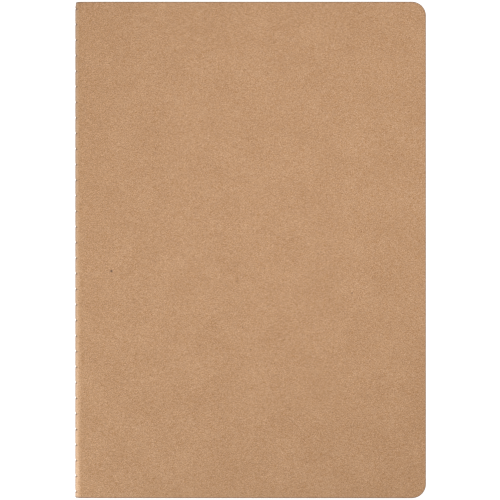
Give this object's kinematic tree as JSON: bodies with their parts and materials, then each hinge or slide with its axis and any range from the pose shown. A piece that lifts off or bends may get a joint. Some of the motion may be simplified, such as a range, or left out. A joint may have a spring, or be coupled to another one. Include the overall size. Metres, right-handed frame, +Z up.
{
  "type": "pocket notebook",
  "caption": "Slim pocket notebook in a plain kraft card cover, one thread-sewn signature of blank leaves, rounded corners at the fore-edge and visible stitches along the spine.",
  "frame": {"origin": "centre of the closed notebook's footprint, on the surface that the back cover lies on", "axes": "+X from the spine to the fore-edge, +Y from the tail to the head, +Z up out of the front cover"},
  "size_m": [0.1052, 0.148, 0.005],
  "materials": {
    "kraft_card": "uncoated brown kraft card, fibrous and matt",
    "page_paper": "uncoated ivory writing paper, matt",
    "sewing_thread": "brown twisted polyester-cotton thread"
  },
  "bodies": {
    "back_cover": {"back_cover": "kraft_card"},
    "spine": {"cover_spine": "kraft_card", "sheet_01_fold": "page_paper", "sheet_02_fold": "page_paper", "sheet_03_fold": "page_paper", "sheet_04_fold": "page_paper", "sheet_05_fold": "page_paper", "sheet_06_fold": "page_paper", "sheet_07_fold": "page_paper", "sheet_08_fold": "page_paper", "sheet_09_fold": "page_paper", "sheet_10_fold": "page_paper", "sheet_11_fold": "page_paper", "sheet_12_fold": "page_paper", "sheet_13_fold": "page_paper", "sheet_14_fold": "page_paper", "sheet_15_fold": "page_paper", "sheet_16_fold": "page_paper", "needle_thread": "sewing_thread", "bobbin_thread": "sewing_thread"},
    "front_cover": {"front_cover": "kraft_card"},
    "sheet_01_front_leaf": {"sheet_01_front_leaf": "page_paper"},
    "sheet_02_front_leaf": {"sheet_02_front_leaf": "page_paper"},
    "sheet_03_front_leaf": {"sheet_03_front_leaf": "page_paper"},
    "sheet_04_front_leaf": {"sheet_04_front_leaf": "page_paper"},
    "sheet_05_front_leaf": {"sheet_05_front_leaf": "page_paper"},
    "sheet_06_front_leaf": {"sheet_06_front_leaf": "page_paper"},
    "sheet_07_front_leaf": {"sheet_07_front_leaf": "page_paper"},
    "sheet_08_front_leaf": {"sheet_08_front_leaf": "page_paper"},
    "sheet_09_front_leaf": {"sheet_09_front_leaf": "page_paper"},
    "sheet_10_front_leaf": {"sheet_10_front_leaf": "page_paper"},
    "sheet_11_front_leaf": {"sheet_11_front_leaf": "page_paper"},
    "sheet_12_front_leaf": {"sheet_12_front_leaf": "page_paper"},
    "sheet_13_front_leaf": {"sheet_13_front_leaf": "page_paper"},
    "sheet_14_front_leaf": {"sheet_14_front_leaf": "page_paper"},
    "sheet_15_front_leaf": {"sheet_15_front_leaf": "page_paper"},
    "sheet_16_front_leaf": {"sheet_16_front_leaf": "page_paper"},
    "sheet_01_back_leaf": {"sheet_01_back_leaf": "page_paper"},
    "sheet_02_back_leaf": {"sheet_02_back_leaf": "page_paper"},
    "sheet_03_back_leaf": {"sheet_03_back_leaf": "page_paper"},
    "sheet_04_back_leaf": {"sheet_04_back_leaf": "page_paper"},
    "sheet_05_back_leaf": {"sheet_05_back_leaf": "page_paper"},
    "sheet_06_back_leaf": {"sheet_06_back_leaf": "page_paper"},
    "sheet_07_back_leaf": {"sheet_07_back_leaf": "page_paper"},
    "sheet_08_back_leaf": {"sheet_08_back_leaf": "page_paper"},
    "sheet_09_back_leaf": {"sheet_09_back_leaf": "page_paper"},
    "sheet_10_back_leaf": {"sheet_10_back_leaf": "page_paper"},
    "sheet_11_back_leaf": {"sheet_11_back_leaf": "page_paper"},
    "sheet_12_back_leaf": {"sheet_12_back_leaf": "page_paper"},
    "sheet_13_back_leaf": {"sheet_13_back_leaf": "page_paper"},
    "sheet_14_back_leaf": {"sheet_14_back_leaf": "page_paper"},
    "sheet_15_back_leaf": {"sheet_15_back_leaf": "page_paper"},
    "sheet_16_back_leaf": {"sheet_16_back_leaf": "page_paper"}
  },
  "joints": [
    {"name": "back_cover_hinge", "type": "hinge", "parent": "back_cover", "child": "spine", "pos_m": [-0.04993, 0, 0.00249], "axis": [0, -1, 0], "range_deg": [0, 90], "deforming": ["cover_spine"]},
    {"name": "front_cover_hinge", "type": "hinge", "parent": "spine", "child": "front_cover", "pos_m": [-0.04993, 0, 0.00249], "axis": [0, -1, 0], "range_deg": [0, 90], "deforming": ["sheet_01_fold", "sheet_02_fold", "sheet_03_fold", "sheet_04_fold", "sheet_05_fold", "sheet_06_fold", "sheet_07_fold", "sheet_08_fold", "sheet_09_fold", "sheet_10_fold", "sheet_11_fold", "sheet_12_fold", "sheet_13_fold", "sheet_14_fold", "sheet_15_fold", "sheet_16_fold"]},
    {"name": "sheet_01_front_hinge", "type": "hinge", "parent": "spine", "child": "sheet_01_front_leaf", "pos_m": [-0.04993, 0, 0.00249], "axis": [0, -1, 0], "range_deg": [0, 88.65]},
    {"name": "sheet_02_front_hinge", "type": "hinge", "parent": "spine", "child": "sheet_02_front_leaf", "pos_m": [-0.04993, 0, 0.00249], "axis": [0, -1, 0], "range_deg": [0, 87.3]},
    {"name": "sheet_03_front_hinge", "type": "hinge", "parent": "spine", "child": "sheet_03_front_leaf", "pos_m": [-0.04993, 0, 0.00249], "axis": [0, -1, 0], "range_deg": [0, 85.95]},
    {"name": "sheet_04_front_hinge", "type": "hinge", "parent": "spine", "child": "sheet_04_front_leaf", "pos_m": [-0.04993, 0, 0.00249], "axis": [0, -1, 0], "range_deg": [0, 84.6]},
    {"name": "sheet_05_front_hinge", "type": "hinge", "parent": "spine", "child": "sheet_05_front_leaf", "pos_m": [-0.04993, 0, 0.00249], "axis": [0, -1, 0], "range_deg": [0, 83.25]},
    {"name": "sheet_06_front_hinge", "type": "hinge", "parent": "spine", "child": "sheet_06_front_leaf", "pos_m": [-0.04993, 0, 0.00249], "axis": [0, -1, 0], "range_deg": [0, 81.9]},
    {"name": "sheet_07_front_hinge", "type": "hinge", "parent": "spine", "child": "sheet_07_front_leaf", "pos_m": [-0.04993, 0, 0.00249], "axis": [0, -1, 0], "range_deg": [0, 80.55]},
    {"name": "sheet_08_front_hinge", "type": "hinge", "parent": "spine", "child": "sheet_08_front_leaf", "pos_m": [-0.04993, 0, 0.00249], "axis": [0, -1, 0], "range_deg": [0, 79.2]},
    {"name": "sheet_09_front_hinge", "type": "hinge", "parent": "spine", "child": "sheet_09_front_leaf", "pos_m": [-0.04993, 0, 0.00249], "axis": [0, -1, 0], "range_deg": [0, 77.85]},
    {"name": "sheet_10_front_hinge", "type": "hinge", "parent": "spine", "child": "sheet_10_front_leaf", "pos_m": [-0.04993, 0, 0.00249], "axis": [0, -1, 0], "range_deg": [0, 76.5]},
    {"name": "sheet_11_front_hinge", "type": "hinge", "parent": "spine", "child": "sheet_11_front_leaf", "pos_m": [-0.04993, 0, 0.00249], "axis": [0, -1, 0], "range_deg": [0, 75.15]},
    {"name": "sheet_12_front_hinge", "type": "hinge", "parent": "spine", "child": "sheet_12_front_leaf", "pos_m": [-0.04993, 0, 0.00249], "axis": [0, -1, 0], "range_deg": [0, 73.8]},
    {"name": "sheet_13_front_hinge", "type": "hinge", "parent": "spine", "child": "sheet_13_front_leaf", "pos_m": [-0.04993, 0, 0.00249], "axis": [0, -1, 0], "range_deg": [0, 72.45]},
    {"name": "sheet_14_front_hinge", "type": "hinge", "parent": "spine", "child": "sheet_14_front_leaf", "pos_m": [-0.04993, 0, 0.00249], "axis": [0, -1, 0], "range_deg": [0, 71.1]},
    {"name": "sheet_15_front_hinge", "type": "hinge", "parent": "spine", "child": "sheet_15_front_leaf", "pos_m": [-0.04993, 0, 0.00249], "axis": [0, -1, 0], "range_deg": [0, 69.75]},
    {"name": "sheet_16_front_hinge", "type": "hinge", "parent": "spine", "child": "sheet_16_front_leaf", "pos_m": [-0.04993, 0, 0.00249], "axis": [0, -1, 0], "range_deg": [0, 68.4]},
    {"name": "sheet_01_back_hinge", "type": "hinge", "parent": "spine", "child": "sheet_01_back_leaf", "pos_m": [-0.04993, 0, 0.00249], "axis": [0, -1, 0], "range_deg": [-88.65, 0]},
    {"name": "sheet_02_back_hinge", "type": "hinge", "parent": "spine", "child": "sheet_02_back_leaf", "pos_m": [-0.04993, 0, 0.00249], "axis": [0, -1, 0], "range_deg": [-87.3, 0]},
    {"name": "sheet_03_back_hinge", "type": "hinge", "parent": "spine", "child": "sheet_03_back_leaf", "pos_m": [-0.04993, 0, 0.00249], "axis": [0, -1, 0], "range_deg": [-85.95, 0]},
    {"name": "sheet_04_back_hinge", "type": "hinge", "parent": "spine", "child": "sheet_04_back_leaf", "pos_m": [-0.04993, 0, 0.00249], "axis": [0, -1, 0], "range_deg": [-84.6, 0]},
    {"name": "sheet_05_back_hinge", "type": "hinge", "parent": "spine", "child": "sheet_05_back_leaf", "pos_m": [-0.04993, 0, 0.00249], "axis": [0, -1, 0], "range_deg": [-83.25, 0]},
    {"name": "sheet_06_back_hinge", "type": "hinge", "parent": "spine", "child": "sheet_06_back_leaf", "pos_m": [-0.04993, 0, 0.00249], "axis": [0, -1, 0], "range_deg": [-81.9, 0]},
    {"name": "sheet_07_back_hinge", "type": "hinge", "parent": "spine", "child": "sheet_07_back_leaf", "pos_m": [-0.04993, 0, 0.00249], "axis": [0, -1, 0], "range_deg": [-80.55, 0]},
    {"name": "sheet_08_back_hinge", "type": "hinge", "parent": "spine", "child": "sheet_08_back_leaf", "pos_m": [-0.04993, 0, 0.00249], "axis": [0, -1, 0], "range_deg": [-79.2, 0]},
    {"name": "sheet_09_back_hinge", "type": "hinge", "parent": "spine", "child": "sheet_09_back_leaf", "pos_m": [-0.04993, 0, 0.00249], "axis": [0, -1, 0], "range_deg": [-77.85, 0]},
    {"name": "sheet_10_back_hinge", "type": "hinge", "parent": "spine", "child": "sheet_10_back_leaf", "pos_m": [-0.04993, 0, 0.00249], "axis": [0, -1, 0], "range_deg": [-76.5, 0]},
    {"name": "sheet_11_back_hinge", "type": "hinge", "parent": "spine", "child": "sheet_11_back_leaf", "pos_m": [-0.04993, 0, 0.00249], "axis": [0, -1, 0], "range_deg": [-75.15, 0]},
    {"name": "sheet_12_back_hinge", "type": "hinge", "parent": "spine", "child": "sheet_12_back_leaf", "pos_m": [-0.04993, 0, 0.00249], "axis": [0, -1, 0], "range_deg": [-73.8, 0]},
    {"name": "sheet_13_back_hinge", "type": "hinge", "parent": "spine", "child": "sheet_13_back_leaf", "pos_m": [-0.04993, 0, 0.00249], "axis": [0, -1, 0], "range_deg": [-72.45, 0]},
    {"name": "sheet_14_back_hinge", "type": "hinge", "parent": "spine", "child": "sheet_14_back_leaf", "pos_m": [-0.04993, 0, 0.00249], "axis": [0, -1, 0], "range_deg": [-71.1, 0]},
    {"name": "sheet_15_back_hinge", "type": "hinge", "parent": "spine", "child": "sheet_15_back_leaf", "pos_m": [-0.04993, 0, 0.00249], "axis": [0, -1, 0], "range_deg": [-69.75, 0]},
    {"name": "sheet_16_back_hinge", "type": "hinge", "parent": "spine", "child": "sheet_16_back_leaf", "pos_m": [-0.04993, 0, 0.00249], "axis": [0, -1, 0], "range_deg": [-68.4, 0]}
  ],
  "couplings": [
    {"joint": "sheet_01_front_hinge", "follows": "front_cover_hinge", "ratio": 0.985},
    {"joint": "sheet_02_front_hinge", "follows": "front_cover_hinge", "ratio": 0.97},
    {"joint": "sheet_03_front_hinge", "follows": "front_cover_hinge", "ratio": 0.955},
    {"joint": "sheet_04_front_hinge", "follows": "front_cover_hinge", "ratio": 0.94},
    {"joint": "sheet_05_front_hinge", "follows": "front_cover_hinge", "ratio": 0.925},
    {"joint": "sheet_06_front_hinge", "follows": "front_cover_hinge", "ratio": 0.91},
    {"joint": "sheet_07_front_hinge", "follows": "front_cover_hinge", "ratio": 0.895},
    {"joint": "sheet_08_front_hinge", "follows": "front_cover_hinge", "ratio": 0.88},
    {"joint": "sheet_09_front_hinge", "follows": "front_cover_hinge", "ratio": 0.865},
    {"joint": "sheet_10_front_hinge", "follows": "front_cover_hinge", "ratio": 0.85},
    {"joint": "sheet_11_front_hinge", "follows": "front_cover_hinge", "ratio": 0.835},
    {"joint": "sheet_12_front_hinge", "follows": "front_cover_hinge", "ratio": 0.82},
    {"joint": "sheet_13_front_hinge", "follows": "front_cover_hinge", "ratio": 0.805},
    {"joint": "sheet_14_front_hinge", "follows": "front_cover_hinge", "ratio": 0.79},
    {"joint": "sheet_15_front_hinge", "follows": "front_cover_hinge", "ratio": 0.775},
    {"joint": "sheet_16_front_hinge", "follows": "front_cover_hinge", "ratio": 0.76},
    {"joint": "sheet_01_back_hinge", "follows": "back_cover_hinge", "ratio": -0.985},
    {"joint": "sheet_02_back_hinge", "follows": "back_cover_hinge", "ratio": -0.97},
    {"joint": "sheet_03_back_hinge", "follows": "back_cover_hinge", "ratio": -0.955},
    {"joint": "sheet_04_back_hinge", "follows": "back_cover_hinge", "ratio": -0.94},
    {"joint": "sheet_05_back_hinge", "follows": "back_cover_hinge", "ratio": -0.925},
    {"joint": "sheet_06_back_hinge", "follows": "back_cover_hinge", "ratio": -0.91},
    {"joint": "sheet_07_back_hinge", "follows": "back_cover_hinge", "ratio": -0.895},
    {"joint": "sheet_08_back_hinge", "follows": "back_cover_hinge", "ratio": -0.88},
    {"joint": "sheet_09_back_hinge", "follows": "back_cover_hinge", "ratio": -0.865},
    {"joint": "sheet_10_back_hinge", "follows": "back_cover_hinge", "ratio": -0.85},
    {"joint": "sheet_11_back_hinge", "follows": "back_cover_hinge", "ratio": -0.835},
    {"joint": "sheet_12_back_hinge", "follows": "back_cover_hinge", "ratio": -0.82},
    {"joint": "sheet_13_back_hinge", "follows": "back_cover_hinge", "ratio": -0.805},
    {"joint": "sheet_14_back_hinge", "follows": "back_cover_hinge", "ratio": -0.79},
    {"joint": "sheet_15_back_hinge", "follows": "back_cover_hinge", "ratio": -0.775},
    {"joint": "sheet_16_back_hinge", "follows": "back_cover_hinge", "ratio": -0.76}
  ]
}
